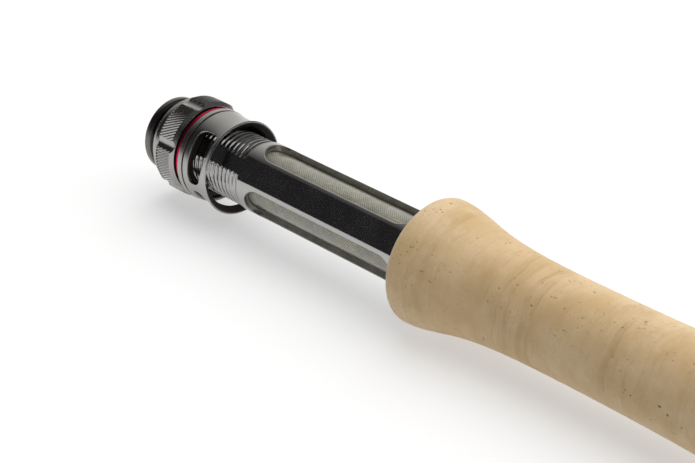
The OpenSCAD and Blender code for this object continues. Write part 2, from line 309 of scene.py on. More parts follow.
def noiseAt(tree, vector, scale, detail=3.0, roughness=0.5, distortion=0.0):
    node = tree.nodes.new("ShaderNodeTexNoise")
    setInputs(tree, node, {"Vector": vector, "Scale": scale, "Detail": detail,
                           "Roughness": roughness, "Distortion": distortion})
    return node.outputs["Fac"]


def objectPoints(tree, scale=(1, 1, 1)):
    where = tree.nodes.new("ShaderNodeTexCoord")
    mapping = tree.nodes.new("ShaderNodeMapping")
    mapping.inputs["Scale"].default_value = scale
    tree.links.new(where.outputs["Object"], mapping.inputs["Vector"])
    return mapping.outputs[0]


def wrapPoints(tree):
    # The turns round the rod and the decimetres along it, as two sockets.
    layer = tree.nodes.new("ShaderNodeUVMap")
    layer.uv_map = "wrap"
    split = tree.nodes.new("ShaderNodeSeparateXYZ")
    tree.links.new(layer.outputs[0], split.inputs[0])
    return split.outputs[0], split.outputs[1]


def joinPoints(tree, x, y, z=0.0):
    node = tree.nodes.new("ShaderNodeCombineXYZ")
    setInputs(tree, node, {0: x, 1: y, 2: z})
    return node.outputs[0]


def bumpNode(tree, height, distance, strength=1.0):
    node = tree.nodes.new("ShaderNodeBump")
    setInputs(tree, node, {"Height": height, "Distance": distance, "Strength": strength})
    return node.outputs[0]


def readAttribute(tree, name):
    node = tree.nodes.new("ShaderNodeAttribute")
    node.attribute_name = name
    return node.outputs["Fac"]


def anodised(name, colour, roughness, turned=0.5, mottle=0.12, inside=None):
    # Anodised aluminium: a dark metal with fine tool rings round the rod, faint smudges in
    # its gloss and a fine grain from the anodising bath. Where the attribute "inside" is 1,
    # the colour is painted shade, darkened to the inside colour, and the metal is rougher.
    material, tree, shader = newMaterial(name)
    where = objectPoints(tree)
    along = wrapPoints(tree)[1]
    rings = noiseAt(tree, joinPoints(tree, times(tree, along, 900.0), 0.0), 1.0, 4.0, 0.6)
    grain = noiseAt(tree, where, 9000.0, 2.0, 0.6)
    smudge = noiseAt(tree, where, 160.0, 3.0, 0.55)
    low = tuple(c * (1 - mottle) for c in colour)
    high = tuple(min(1.0, c * (1 + mottle)) for c in colour)
    tint = mixColour(tree, smudge, low, high)
    gloss = mathNode(tree, "ADD", remap(tree, smudge, 0.35, 0.7, roughness * 0.85, roughness * 1.2),
                     times(tree, rings, 0.06 * turned))
    height = mathNode(tree, "ADD", times(tree, rings, turned), times(tree, grain, 0.35))
    if inside:
        # painted shade: deep in the hood the colour goes dark, where little light reaches
        share = readAttribute(tree, "inside")
        tint = mixColour(tree, share, tint, inside)
        gloss = mathNode(tree, "ADD", gloss, times(tree, share, 0.3))
    setInputs(tree, shader, {"Base Color": tint, "Metallic": 1.0, "Roughness": gloss,
                             "Normal": bumpNode(tree, height, 0.0000025)})
    return material


def wovenComposite(name, look):
    # Two sets of flat yarns wound at equal and opposite slants round the tube. Each weave
    # cell shows one set or the other, under a clear resin coat.
    material, tree, shader = newMaterial(name)
    turns, along = wrapPoints(tree)
    across = times(tree, turns, look["yarnsRound"])
    length = times(tree, along, decimetre / look["yarnPitch"])
    first = mathNode(tree, "ADD", across, length)
    second = mathNode(tree, "SUBTRACT", across, length)
    cell = mathNode(tree, "ADD", mathNode(tree, "FLOOR", first), mathNode(tree, "FLOOR", second))
    pick = mathNode(tree, "ABSOLUTE", mathNode(tree, "MODULO", cell, 2.0))
    over = times(tree, crownNode(tree, first), pick)
    under = times(tree, crownNode(tree, second), mathNode(tree, "SUBTRACT", 1.0, pick))
    height = mathNode(tree, "ADD", over, times(tree, under, 0.8))
    where = objectPoints(tree)
    patch = noiseAt(tree, where, 300.0, 3.0, 0.6)
    fleck = noiseAt(tree, where, 2600.0, 2.0, 0.7)
    body = mixColour(tree, remap(tree, height, 0.15, 0.95), look["valley"], look["yarn"])
    body = mixColour(tree, remap(tree, fleck, 0.56, 0.72, 0.0, 0.75), body, look["glint"])
    body = mixColour(tree, remap(tree, patch, 0.35, 0.7, 0.0, 0.35), body, look["valley"])
    setInputs(tree, shader, {"Base Color": body, "Metallic": 0.4, "Roughness": 0.3, "Coat Weight": 0.6,
                             "Coat Roughness": 0.12, "Normal": bumpNode(tree, height, 0.00004, 0.7)})
    return material


def corkMaterial(name, look):
    # Soft growth bands run round each ring, with short streaks between them that break up
    # along the rod. Fine dark specks come in clusters, and the pits' own attribute colours
    # their floors. Streaks are noise stretched round the rod.
    material, tree, shader = newMaterial(name)
    where = objectPoints(tree)
    along = wrapPoints(tree)[1]
    tone = readAttribute(tree, "tone")
    banding = readAttribute(tree, "banding")
    pit = readAttribute(tree, "pit")
    drift = noiseAt(tree, where, 75.0, 3.0, 0.5)
    place = mathNode(tree, "ADD", times(tree, along, float(decimetre)), times(tree, drift, 6.0))
    ridge = noiseAt(tree, joinPoints(tree, place, times(tree, tone, 31.0)), 0.55, 3.0, 0.6)
    patch = noiseAt(tree, where, 130.0, 4.0, 0.6)
    streak = noiseAt(tree, objectPoints(tree, (1, 0.14, 0.14)), 1500.0, 4.0, 0.7, 0.6)
    cloud = noiseAt(tree, where, 85.0, 5.0, 0.6)
    grain = noiseAt(tree, where, 2600.0, 3.0, 0.7)
    cluster = remap(tree, noiseAt(tree, where, 95.0, 2.0, 0.5), 0.46, 0.62)
    specks = remap(tree, noiseAt(tree, objectPoints(tree, (0.7, 1, 1)), 1350.0, 2.0, 0.6), 0.645, 0.70)
    specks = times(tree, specks, mathNode(tree, "ADD", times(tree, cluster, 0.85), 0.08))
    colour = mixColour(tree, remap(tree, cloud, 0.32, 0.68), look["light"], look["mid"])
    bands = times(tree, remap(tree, ridge, 0.45, 0.66), banding)
    bands = times(tree, bands, remap(tree, patch, 0.3, 0.62))
    colour = mixColour(tree, times(tree, bands, 0.55), colour, look["band"])
    thin = times(tree, remap(tree, streak, 0.5, 0.72), remap(tree, patch, 0.36, 0.66, 0.15, 0.75))
    colour = mixColour(tree, times(tree, thin, 0.5), colour, look["band"])
    colour = mixColour(tree, remap(tree, tone, 0.0, 1.0, 0.0, 0.35), colour, look["warm"])
    colour = mixColour(tree, remap(tree, grain, 0.48, 0.72, 0.0, 0.45), colour, look["mid"])
    colour = mixColour(tree, times(tree, specks, 0.85), colour, look["pitEdge"])
    ragged = times(tree, pit, remap(tree, grain, 0.3, 0.7, 0.6, 1.4))
    colour = mixColour(tree, remap(tree, ragged, 0.12, 0.5), colour, look["pitEdge"])
    colour = mixColour(tree, remap(tree, ragged, 0.5, 1.0), colour, look["pit"])
    height = mathNode(tree, "SUBTRACT", grain, times(tree, specks, 1.2))
    height = mathNode(tree, "SUBTRACT", height, times(tree, thin, 0.4))
    setInputs(tree, shader, {"Base Color": colour, "Roughness": remap(tree, grain, 0.3, 0.7, 0.62, 0.82),
                             "Specular IOR Level": 0.3, "Sheen Weight": 0.2, "Sheen Roughness": 0.5,
                             "Normal": bumpNode(tree, height, 0.00005, 0.7)})
    return material


def carbonBlank(name, look):
    # Carbon cloth under a clear coat, with the faint spiral that its wrapping tape left.
    material, tree, shader = newMaterial(name)
    turns, along = wrapPoints(tree)
    spiral = mathNode(tree, "ADD", times(tree, along, decimetre / look["tapePitch"]), turns)
    ridge = crownNode(tree, spiral)
    fibre = noiseAt(tree, objectPoints(tree, (0.04, 1, 1)), 9000.0, 3.0, 0.7)
    colour = mixColour(tree, remap(tree, fibre, 0.35, 0.7), look["dark"], look["fibre"])
    setInputs(tree, shader, {"Base Color": colour, "Roughness": remap(tree, fibre, 0.3, 0.7, 0.28, 0.4),
                             "Coat Weight": 0.8, "Coat Roughness": 0.08,
                             "Normal": bumpNode(tree, ridge, 0.00003, 0.5)})
    return material


def threadWrap(name, look):
    # Thread wound side by side, dark, under a smooth epoxy coat.
    material, tree, shader = newMaterial(name)
    turns, along = wrapPoints(tree)
    wound = mathNode(tree, "ADD", times(tree, along, decimetre / look["pitch"]), turns)
    ridge = crownNode(tree, wound)
    twist = noiseAt(tree, objectPoints(tree), 5200.0, 2.0, 0.6)
    colour = mixColour(tree, ridge, look["gap"], look["thread"])
    colour = mixColour(tree, remap(tree, twist, 0.45, 0.7, 0.0, 0.5), colour, look["sheen"])
    setInputs(tree, shader, {"Base Color": colour, "Roughness": 0.5, "Coat Weight": 1.0,
                             "Coat Roughness": 0.04, "Normal": bumpNode(tree, ridge, 0.00005, 0.6)})
    return material


def mattRubber(name, colour):
    material, tree, shader = newMaterial(name)
    grain = noiseAt(tree, objectPoints(tree), 5000.0, 3.0, 0.6)
    tint = mixColour(tree, grain, tuple(c * 0.7 for c in colour), tuple(c * 1.4 for c in colour))
    setInputs(tree, shader, {"Base Color": tint, "Roughness": remap(tree, grain, 0.3, 0.7, 0.6, 0.8),
                             "Normal": bumpNode(tree, grain, 0.00001)})
    return material


def steelWire(name, colour):
    material, tree, shader = newMaterial(name)
    drawn = noiseAt(tree, objectPoints(tree, (0.2, 1, 1)), 6000.0, 2.0, 0.5)
    tint = mixColour(tree, drawn, tuple(c * 0.85 for c in colour), colour)
    setInputs(tree, shader, {"Base Color": tint, "Metallic": 1.0,
                             "Roughness": remap(tree, drawn, 0.3, 0.7, 0.14, 0.26)})
    return material


# the hood's inside colour is painted shade for its hollow and the cone of its mouth
metalTint = {"barrel": (0.42, 0.415, 0.405), "nut": (0.38, 0.37, 0.36), "hood": (0.40, 0.392, 0.378),
             "hoodInsideShade": (0.05, 0.043, 0.038), "cap": (0.17, 0.155, 0.145), "red": (0.80, 0.005, 0.075),
             "keeper": (0.62, 0.62, 0.63)}
barrelMetal = anodised("barrel gunmetal", metalTint["barrel"], 0.2, 0.35)
nutMetal = anodised("nut gunmetal", metalTint["nut"], 0.2, 0.4)
# the hood's inside colour paints shade into its hollow and mouth cone
hoodMetal = anodised("hood gunmetal", metalTint["hood"], 0.26, 0.5, inside=metalTint["hoodInsideShade"])
capMetal = anodised("cap dark anodising", metalTint["cap"], 0.28, 0.8)
redMetal = anodised("red anodising", metalTint["red"], 0.3, 0.5)
ringRubber = mattRubber("thrust ring rubber", (0.012, 0.012, 0.013))
arborFoam = mattRubber("arbor foam", (0.05, 0.05, 0.052))
keeperSteel = steelWire("keeper wire", metalTint["keeper"])
insertWeave = wovenComposite("woven insert", {
    "yarnsRound": 64.0, "yarnPitch": 0.62, "yarn": (0.40, 0.385, 0.30), "valley": (0.07, 0.07, 0.058),
    "glint": (0.62, 0.55, 0.36)})
gripCork = corkMaterial("cork", {
    "light": (0.66, 0.50, 0.305), "mid": (0.53, 0.37, 0.185), "warm": (0.58, 0.385, 0.185),
    "band": (0.36, 0.215, 0.095), "pitEdge": (0.22, 0.165, 0.095), "pit": (0.07, 0.055, 0.036)})
blankCarbon = carbonBlank("carbon blank", {
    "tapePitch": 2.4, "dark": (0.012, 0.013, 0.015), "fibre": (0.05, 0.052, 0.056)})
wrapThread = threadWrap("wrap thread", {
    "pitch": 0.2, "gap": (0.004, 0.004, 0.005), "thread": (0.03, 0.03, 0.034), "sheen": (0.07, 0.07, 0.078)})
print("materials ready")


capLook = {"flange": 9.4, "flangeThick": 2.3, "rim": 0.75, "recess": 4.9, "recessDepth": 0.45,
           "spigot": 7.07, "spigotWall": 1.5}


def makeCap():
    start, stop = ends("butt_cap")
    thick = start + capLook["flangeThick"]
    flange, recess = capLook["flange"], capLook["recess"]
    inside = capLook["spigot"] - capLook["spigotWall"]
    # from the middle of the rear face out over the flange, and back along the hollow spigot
    corners = [
        (start + capLook["recessDepth"] - 0.15, 0, 0), (start + capLook["recessDepth"], recess - 0.6, 0.2),
        (start + 0.05, recess, 0.15), (start, recess + 0.5, 0.2), (start + 0.12, flange - 1.4, 0.3),
        (start + 0.22, flange - 1.2, 0.1), (start + 0.25, flange, capLook["rim"]), (thick, flange, 0.6),
        (thick, capLook["spigot"], 0.05), (stop, capLook["spigot"], 0.3), (stop, inside, 0.2),
        (thick, inside, 0.3), (thick, 0, 0)]
    return turnedGrid(corners, turns=224, closed=False)


addPiece("butt_cap_turned", [makeCap()], "root", capMetal, ["butt_cap"])


seatLook = {"outer": 8.75, "bore": 7.12, "flatDrop": 0.5, "crest": 8.45, "threadDepth": 0.55, "pitch": 1.411,
            "threadEnd": 33.7, "stepLength": 0.4, "windowHalf": 4.75, "windowCentres": (60, 180, 300),
            "windowFrom": 36.0, "windowTo": 86.0, "windowRim": 0.22, "endRim": 0.3, "rowsPerTurn": 12,
            "sectorSteps": 44, "windowSteps": 96}
flatHeight = seatLook["outer"] - seatLook["flatDrop"]
beyond = 99.0                       # a radius past every surface, where nothing is cut


def threadWave(phase):
    # Height of the thread from root to crest over one turn: a flat crest, sloping flanks
    # and a rounded root.
    swing = np.abs(2 * (phase % 1) - 1)
    return smoothStep(0.16, 0.74, swing)


def barrelColumns():
    # Angles of the grid's lines: they follow the flat's two edges, both on the barrel and
    # where the thread's crests are cut, and the borders between the three windows.
    wide = math.acos(flatHeight / seatLook["outer"])
    narrow = math.acos(flatHeight / seatLook["crest"])
    third = fullTurn / 3
    flat = np.concatenate([np.linspace(-wide, -narrow, 5), np.linspace(-narrow, narrow, 9)[1:],
                           np.linspace(narrow, wide, 5)[1:]])
    steps = seatLook["sectorSteps"] + 1
    sectors = [np.linspace(wide, third, steps), np.linspace(third, 2 * third, steps),
               np.linspace(2 * third, fullTurn - wide, steps)]
    return flat, sectors


def makeBarrel():
    look = seatLook
    start, stop = ends("seat_barrel")
    flat, sectors = barrelColumns()
    phi = np.concatenate([flat] + [sector[1:] for sector in sectors])[None]
    side = np.abs(np.sin(phi)) * look["crest"]
    onTop = np.cos(phi) > 0
    half = look["crest"] * math.sin(math.acos(flatHeight / look["crest"]))
    grooved = np.where(onTop, smoothStep(half, half + 1.1, side), 1.0)
    cut = np.where(onTop, flatHeight / np.maximum(np.cos(phi), 0.05), beyond)
    smooth = np.minimum(look["outer"], cut)

    def threadRadius(a):
        phase = a / look["pitch"] - phi / fullTurn
        runOut = smoothStep(look["threadEnd"] - 1.3, look["threadEnd"] - 0.3, a)
        fade = smoothStep(start, start + 1.0, a) * (1 - runOut)
        depth = look["threadDepth"] * (1 - threadWave(phase)) * grooved * fade
        return np.minimum(look["crest"] - depth, cut)

    # outer face of the threaded end, from its rear chamfer to the step up to the barrel
    count = int((look["threadEnd"] - start) / look["pitch"] * look["rowsPerTurn"])
    a = np.linspace(start + 0.3, look["threadEnd"], count)[:, None]
    outside = threadRadius(a)
    step = np.linspace(0, 1, 6)[1:, None]
    aStep = look["threadEnd"] + look["stepLength"] * step
    rStep = outside[-1:] + (smooth - outside[-1:]) * np.sin(step * math.pi / 2) ** 0.8
    aFirst = np.array([[start], [start], [start + 0.12]])
    rFirst = np.concatenate([np.full_like(smooth, look["bore"]), outside[:1] - 0.3, outside[:1] - 0.12])
    grids = [makeGrid(np.concatenate([aFirst, a, aStep]), np.concatenate([rFirst, outside, rStep]), phi)]
    # plain bore behind the windows
    windowStart = look["threadEnd"] + look["stepLength"]
    grids.append(makeGrid(np.array([[start], [windowStart]]), look["bore"], phi))
    # the flat's own strip, the three windows and the end in the grip
    rows = np.linspace(windowStart, look["windowTo"] + 1.6, look["windowSteps"] + 1)
    strip = np.minimum(look["outer"], flatHeight / np.cos(flat))[None]
    grids.append(makeGrid(rows[:, None], strip, flat[None]))
    grids.append(makeGrid(rows[:, None], look["bore"], flat[None]))
    centre = (look["windowFrom"] + look["windowTo"]) / 2
    halfLength = (look["windowTo"] - look["windowFrom"]) / 2
    outerAt = lambda phi, a: np.full_like(phi, look["outer"])
    innerAt = lambda phi, a: np.full_like(phi, look["bore"])
    for sector, degrees in zip(sectors, look["windowCentres"]):
        middle = math.radians(degrees)

        def hole(x, y, grow, radius, middle=middle):
            across, a = roundedBox(x, y, look["windowHalf"], halfLength, look["windowHalf"], grow)
            return middle + np.arcsin(across / radius(across, a)), centre + a

        grids += windowGrids(sector, rows, hole, outerAt, innerAt, look["windowRim"])
    bore = np.full_like(smooth, look["bore"])
    aTail = np.array([[rows[-1]], [stop - look["endRim"]], [stop], [stop], [rows[-1]]])
    rTail = np.concatenate([smooth, smooth, smooth - look["endRim"], bore, bore])
    grids.append(makeGrid(aTail, rTail, phi))
    return grids


addPiece("seat_barrel_milled", makeBarrel(), "root", barrelMetal, ["seat_barrel"])


insertLook = {"outer": 7.07, "wall": 1.6}


def makeInsert():
    start, stop = ends("seat_insert")
    outer = insertLook["outer"]
    inner = outer - insertLook["wall"]
    corners = [(start, inner, 0.2), (start, outer, 0.3), (stop, outer, 0.3), (stop, inner, 0.2)]
    return turnedGrid(corners, turns=192, reach=6)


addPiece("seat_insert_woven", [makeInsert()], "root", insertWeave, ["seat_insert"])


nutLook = {"knurl": 12.1, "knurlDepth": 0.36, "ridges": 96, "ridgeSlant": 30, "bore": 8.53, "flutes": 6,
           "fluteFirst": 15, "fluteCutter": 2.2, "fluteDepth": 0.7, "fluteStart": 3.0}


def nutShape(a, r, phi):
    # The knurl's valleys are a triangle wave across slanting ridges, cut no higher than the
    # band's own radius; each flute is the near side of a cylinder laid along the nut.
    look = nutLook
    slant = math.tan(math.radians(look["ridgeSlant"])) / look["knurl"]
    wave = np.abs(2 * ((look["ridges"] * (phi + slant * a) / fullTurn) % 1) - 1)
    start, stop = ends("lock_nut")
    banded = smoothStep(stop - 5.75, stop - 5.55, a) * (1 - smoothStep(stop - 0.85, stop - 0.7, a))
    valley = look["knurl"] - look["knurlDepth"] * smoothStep(0.0, 1.0, wave)
    shaped = np.where((r > 11) & (banded > 0.5), np.minimum(r, valley), r + 0 * phi)
    spacing = fullTurn / look["flutes"]
    off = (phi - math.radians(look["fluteFirst"]) + spacing / 2) % spacing - spacing / 2
    centre = look["knurl"] - look["fluteDepth"] + look["fluteCutter"]
    inside = look["fluteCutter"] ** 2 - (centre * np.sin(off)) ** 2
    cutter = centre * np.cos(off) - np.sqrt(np.maximum(inside, 0))
    fluted = (inside > 0) & (a > start + look["fluteStart"]) & (r > 10)
    return np.where(fluted, np.minimum(shaped, cutter), shaped)


def makeNut():
    start, stop = ends("lock_nut")
    bore, top = nutLook["bore"], nutLook["knurl"]
    # a stepped rear with two fine grooves, a plain band, the knurled band and a front chamfer
    corners = [
        (start, bore, 0.3), (start, 10.15, 0.15), (start + 0.45, 10.2, 0.12), (start + 0.6, 9.95, 0.05),
        (start + 0.72, 10.6, 0.1), (start + 1.15, 10.68, 0.12), (start + 1.3, 10.45, 0.05),
        (start + 1.45, 11.1, 0.1), (start + 3.35, 11.2, 0.05), (start + 3.4, 11.9, 0.08),
        (start + 3.6, top, 0.1), (stop - 0.75, top, 0.15), (stop - 0.25, 11.45, 0.1),
        (stop, 11.15, 0.1), (stop, bore, 0.3)]
    return turnedGrid(corners, turns=960, shape=nutShape, arcSteps=4, reach=0.21)


addPiece("lock_nut_knurled", [makeNut()], "nut", nutMetal, ["lock_nut"], sharpAngle=50)


ringLook = {"slide": 8.83, "black": 10.5, "red": 10.95}


def makeRing(node, radius, fillet):
    start, stop = ends(node)
    inner = ringLook["slide"]
    corners = [(start, inner, 0.1), (start, radius, fillet), (stop, radius, fillet), (stop, inner, 0.1)]
    return [turnedGrid(corners, turns=256, reach=0.5)]


addPiece("thrust_ring", makeRing("nut_o_ring", ringLook["black"], 0.3), "nut", ringRubber,
         ["nut_o_ring"])
addPiece("red_ring_turned", makeRing("red_ring", ringLook["red"], 0.12), "hood", redMetal,
         ["red_ring"])


# The sliding hood and its collar. Their fit on the thread has play, so they hang a little
# to one side, and the mouth hangs furthest.
hoodLook = {"waist": 11.05, "waistFromMouth": 4.5, "rear": 11.35, "mouth": 11.8, "hollow": 10.05,
            "lobe": 10.85, "lobeHalf": 42, "flange": 1.0, "slide": 8.83, "keyFlat": 8.33, "rim": 0.3,
            "rearRim": 0.22, "windowRim": 0.28, "windows": ((-24, 50, 1), (63, 137, -1)), "border": 56.5,
            "patch": (-32, 145), "droop": (0.3, 0.4), "droopTowards": 80, "frontBand": 1.45,
            "windowCorner": 1.75, "windowHalf": 2.3, "collar": 11.45, "collarRear": 11.0,
            "collarGroove": (0.3, 0.6), "chamferMouth": 11.45, "chamferDepth": 1.2}


def hang(grids):
    # Moves the points to the side on which the hood hangs, by a share that grows evenly
    # from its rear to its mouth.
    rear, mouth = ends("sliding_hood")
    least, most = hoodLook["droop"]
    towards = math.radians(hoodLook["droopTowards"]) + layRoll
    for grid in grids:
        share = np.clip((grid["points"][..., 0] / mm - buttX - rear) / (mouth - rear), 0, 1)
        sag = (least + (most - least) * share) * mm
        grid["points"][..., 1] -= sag * math.sin(towards)
        grid["points"][..., 2] += sag * math.cos(towards)
    return grids


def makeCollar():
    start, stop = ends("hood_collar")
    look = hoodLook
    top, inner = look["collar"], ringLook["slide"] + look["droop"][0]
    wide, deep = look["collarGroove"]
    floor = top - deep
    corners = [(start, inner, 0.1), (start, look["collarRear"], 0.12), (start + 0.6, top, 0.3),
               (stop - wide - 0.02, top, 0.1), (stop - wide, floor, 0.02), (stop, floor, 0.02),
               (stop, inner, 0.1)]
    return hang([turnedGrid(corners, turns=256, reach=0.5)])


addPiece("hood_collar_turned", makeCollar(), "hood", hoodMetal, ["hood_collar"])


def makeHood():
    look = hoodLook
    start, mouth = ends("sliding_hood")
    waistAt = mouth - look["waistFromMouth"]
    reach = waistAt - start
    flangeEnd = start + look["flange"]
    bandStart = mouth - look["frontBand"]

    def outerAt(phi, a):
        # Two power curves that meet at the waist.
        back = (look["rear"] - look["waist"]) * (np.maximum(waistAt - a, 0) / reach) ** 1.8
        front = (look["mouth"] - look["waist"]) * (np.maximum(a - waistAt, 0) / look["waistFromMouth"]) ** 1.8
        return look["waist"] + back + front + 0 * phi

    def innerAt(phi, a):
        # The round hollow, with a lobe over the flat that deepens towards the mouth.
        depth = 0.3 + 0.7 * smoothStep(flangeEnd, mouth, a)
        away = np.abs((phi + math.pi) % fullTurn - math.pi)
        inLobe = 1 - smoothStep(math.radians(look["lobeHalf"] - 4), math.radians(look["lobeHalf"] + 3), away)
        return look["hollow"] + (look["lobe"] - look["hollow"]) * depth * inLobe

    low, high = (math.radians(edge) for edge in look["patch"])
    border = math.radians(look["border"])
    patches = [np.linspace(low, border, 73), np.linspace(border, high, 73)]
    rest = np.linspace(high, low + fullTurn, 121)
    rows = np.linspace(flangeEnd, bandStart, 27)
    grids = []
    for columns, (fromDegrees, toDegrees, way) in zip(patches, look["windows"]):
        middle = math.radians(fromDegrees + toDegrees) / 2
        half = math.radians(toDegrees - fromDegrees) / 2 * look["waist"]

        def hole(x, y, grow, radius, middle=middle, half=half, way=way):
            # A rounded box bent into a kidney: its rear edge is straight and its front edge
            # falls back towards the strut between the two windows.
            across, up = roundedBox(x, y, half, look["windowHalf"], look["windowCorner"], grow)
            t = np.clip(0.5 + way * across / half / 2, 0, 1)
            rear = start + 1.45 + 0.1 * t
            front = mouth - 1.35 - 2.75 * t ** 2.2
            share = (up / look["windowHalf"] + 1) / 2
            return middle + across / look["waist"], rear + share * (front - rear)

        grids += windowGrids(columns, rows, hole, outerAt, innerAt, look["windowRim"], spread=8)
    grids.append(makeGrid(rows[:, None], outerAt(rest[None], rows[:, None]), rest[None]))
    grids.append(makeGrid(rows[:, None], innerAt(rest[None], rows[:, None]), rest[None]))
    phi = np.concatenate([patches[0], patches[1][1:], rest[1:]])[None]
    # the mouth: a rounded rim, a cone that narrows to the hollow, and the hollow's end
    turn = np.linspace(0, math.pi / 2, 8)[:, None]
    cone = np.linspace(0, 1, 7)[:, None]
    rim = look["rim"]
    outAtMouth = outerAt(phi, mouth)
    aOut = np.linspace(bandStart, mouth - rim, 5)[:-1, None]
    coneEnd = mouth - look["chamferDepth"]
    coneStart = look["chamferMouth"] + np.maximum(innerAt(phi, mouth) - look["hollow"], 0) * 0.2
    lipA = np.concatenate([aOut, mouth - rim * (1 - np.sin(turn)), mouth - look["chamferDepth"] * cone,
                           [[bandStart]]])
    lipR = np.concatenate([
        outerAt(phi, aOut), outAtMouth - rim * (1 - np.cos(turn)),
        coneStart + (innerAt(phi, coneEnd) - coneStart) * cone, innerAt(phi, bandStart)])
    grids.append(makeGrid(lipA, lipR, phi))
    # rear flange, whose bore has the flat that keeps the hood from turning
    away = np.cos(phi)
    key = np.minimum(look["slide"], look["keyFlat"] / np.maximum(away, 0.05))
    bore = np.where(away > 0, key, look["slide"])
    edge = look["rearRim"]
    aSide = np.linspace(start + edge, flangeEnd, 4)[1:, None]
    outAtRear = outerAt(phi, start)
    flangeA = np.concatenate([[[flangeEnd], [flangeEnd], [start], [start]],
                              start + edge * (1 - np.cos(turn)), aSide])
    flangeR = np.concatenate([innerAt(phi, flangeEnd), bore, bore, outAtRear - edge - 0.3,
                              outAtRear - edge * (1 - np.sin(turn)), outerAt(phi, aSide)])
    grids.append(makeGrid(flangeA, flangeR, phi))
    # how far each point lies below the outer face decides how much painted shade it has, in the dark inside
    # colour
    for grid in grids:
        x, y, z = np.moveaxis(grid["points"] / mm, -1, 0)
        depth = outerAt(grid["uv"][..., 0] * fullTurn, x - buttX) - np.hypot(y, z - axisZ)
        grid["attributes"]["inside"] = np.clip((depth - 0.2) / 0.25, 0, 1)
    return hang(grids)


addPiece("sliding_hood_milled", makeHood(), "hood", hoodMetal, ["sliding_hood"])


cupLook = {"inner": 9.825, "wall": 0.8, "offset": 1.025, "floor": 1.4, "floorHole": 7.12, "lip": 0.25}


def eccentric(radius, offset, phi):
    # Distance from the rod's axis to a circle whose centre is off it, towards the flat.
    return offset * np.cos(phi) + np.sqrt(radius ** 2 - (offset * np.sin(phi)) ** 2)


def makeCup():
    look = cupLook
    start, stop = ends("fixed_hood")
    phi = np.linspace(0, fullTurn, 161)[None]
    inner = eccentric(look["inner"], look["offset"], phi)
    outer = eccentric(look["inner"] + look["wall"], look["offset"], phi)
    turn = np.linspace(0, math.pi, 9)[:, None]
    lip = (outer + inner) / 2 - (outer - inner) / 2 * np.cos(turn)
    floor = stop - look["floor"]
    hole = np.full_like(inner, look["floorHole"])
    aLip = start + look["lip"] * (1 - np.sin(turn))
    a = np.concatenate([[[floor]], aLip, [[stop], [stop], [floor], [floor]]])
    r = np.concatenate([inner, lip, outer, hole, hole, inner])
    return makeGrid(a, r, phi)


addPiece("fixed_hood_cup", [makeCup()], "root", capMetal, ["fixed_hood"])


gripLook = {"swell": 14.8, "waist": 10.7, "nose": 7.5, "edge": 2.0, "rearFall": 9.0, "frontRise": 16.0,
            "noseFall": 15.0, "noseLength": 57.8, "rings": 14, "turns": 480, "rows": 64, "chamfer": 0.06,
            "seam": 0.09, "ripple": 0.02, "pitDepth": 0.3, "gap": 0.05, "seed": 20261}
blankLook = {"butt": 4.7, "tip": 4.3, "wall": 1.0, "socket": 3.3, "socketDepth": 30.0}
gripStart = ends("cork_ring_01")[0]
gripEnd = ends(f"cork_ring_{gripLook['rings']:02d}")[1]
rodLength = ends("rod_blank")[1]


def blankRadius(a):
    return blankLook["butt"] + (blankLook["tip"] - blankLook["butt"]) * a / rodLength


def gripRadius(a):
    # A round rear edge, then the waist with a swell at each end; each swell falls away as
    # a hyperbolic secant, and the nose as one more.
    look = gripLook
    d = a - gripStart
    sech = lambda x: 1 / np.cosh(x)
    front = gripEnd - gripStart - look["noseLength"]
    edge = look["swell"] - look["edge"] + np.sqrt(np.maximum(look["edge"] ** 2 - (look["edge"] - d) ** 2, 0))
    share = np.minimum(1, sech((d - look["edge"]) / look["rearFall"]) + sech((front - d) / look["frontRise"]))
    body = look["waist"] + (look["swell"] - look["waist"]) * share
    nose = look["nose"] + (look["swell"] - look["nose"]) * sech((d - front) / look["noseFall"])
    return np.where(d <= look["edge"], edge, np.where(d <= front, body, nose))


def corkPits(a, phi, random):
    # Depth of the pits, 0 to 1: small round ones scattered in clusters along a few
    # lenticels that run along the rod, and a few long cracks.
    start, stop = a.min(), a.max()
    radius = float(gripRadius(np.array((start + stop) / 2)))
    depth = np.zeros(np.broadcast_shapes(a.shape, phi.shape))
    lenticels = random.uniform(0, fullTurn, random.integers(3, 6))
    for home in lenticels:
        for k in range(random.integers(2, 9)):
            place = random.uniform(start, stop)
            angle = home + random.normal(0, 0.12)
            size = random.uniform(0.12, 0.26)
            long = size * random.choice([0.7, 1.0, 2.0], p=[0.4, 0.45, 0.15])
            strength = random.uniform(0.35, 0.9)
            across = ((phi - angle + math.pi) % fullTurn - math.pi) * radius
            depth = np.maximum(depth, strength * np.exp(-((a - place) / long) ** 2 - (across / size) ** 2))
    return depth


